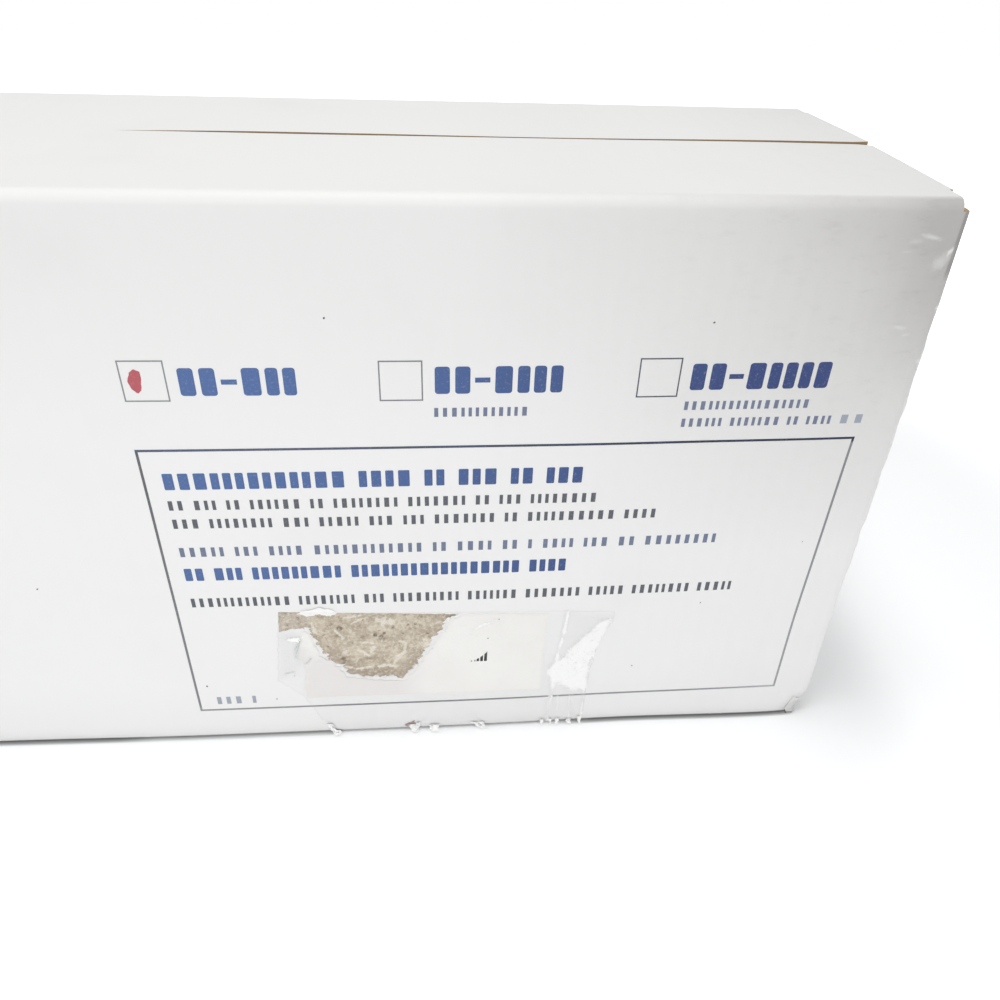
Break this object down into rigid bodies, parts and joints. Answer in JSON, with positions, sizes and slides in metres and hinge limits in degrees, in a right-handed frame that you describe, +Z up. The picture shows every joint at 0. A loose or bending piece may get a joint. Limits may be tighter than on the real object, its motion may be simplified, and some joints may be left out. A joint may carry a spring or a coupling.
{
  "type": "box of pipette tips",
  "caption": "White corrugated carton with two hinged top flaps, packed with two layers of lidded racks for pipette tips; the front has a torn label under clear tape.",
  "frame": {"origin": "centre of the carton's underside, on the surface it stands on", "axes": "+Z up; +X along the printed front panel, to the right as it is read; -Y out of the front panel"},
  "size_m": [0.343, 0.1306, 0.206],
  "materials": {
    "board": "white clay-coated corrugated board, printed in blue and grey, brown where torn",
    "label_paper": "torn address label paper",
    "tape_film": "wrinkled clear packing tape",
    "rack_base": "natural polypropylene",
    "tip_deck": "satin blue polypropylene",
    "rack_lid": "clear frosted polypropylene"
  },
  "bodies": {
    "carton": {"carton": "board", "label_remnant": "label_paper", "clear_tape": "tape_film", "rack_base_1": "rack_base", "tip_deck_1": "tip_deck", "rack_lid_1": "rack_lid", "rack_base_2": "rack_base", "tip_deck_2": "tip_deck", "rack_lid_2": "rack_lid", "rack_base_3": "rack_base", "tip_deck_3": "tip_deck", "rack_lid_3": "rack_lid", "rack_base_4": "rack_base", "tip_deck_4": "tip_deck", "rack_lid_4": "rack_lid", "rack_base_5": "rack_base", "tip_deck_5": "tip_deck", "rack_lid_5": "rack_lid", "rack_base_6": "rack_base", "tip_deck_6": "tip_deck", "rack_lid_6": "rack_lid", "rack_base_7": "rack_base", "tip_deck_7": "tip_deck", "rack_lid_7": "rack_lid", "rack_base_8": "rack_base", "tip_deck_8": "tip_deck", "rack_lid_8": "rack_lid"},
    "flap_front": {"top_flap_front": "board"},
    "flap_back": {"top_flap_back": "board"}
  },
  "joints": [
    {"name": "front_flap_fold", "type": "hinge", "parent": "carton", "child": "flap_front", "pos_m": [0, -0.065, 0.206], "axis": [1, 0, 0], "range_deg": [0, 170]},
    {"name": "back_flap_fold", "type": "hinge", "parent": "carton", "child": "flap_back", "pos_m": [0, 0.065, 0.206], "axis": [-1, 0, 0], "range_deg": [0, 170]}
  ]
}
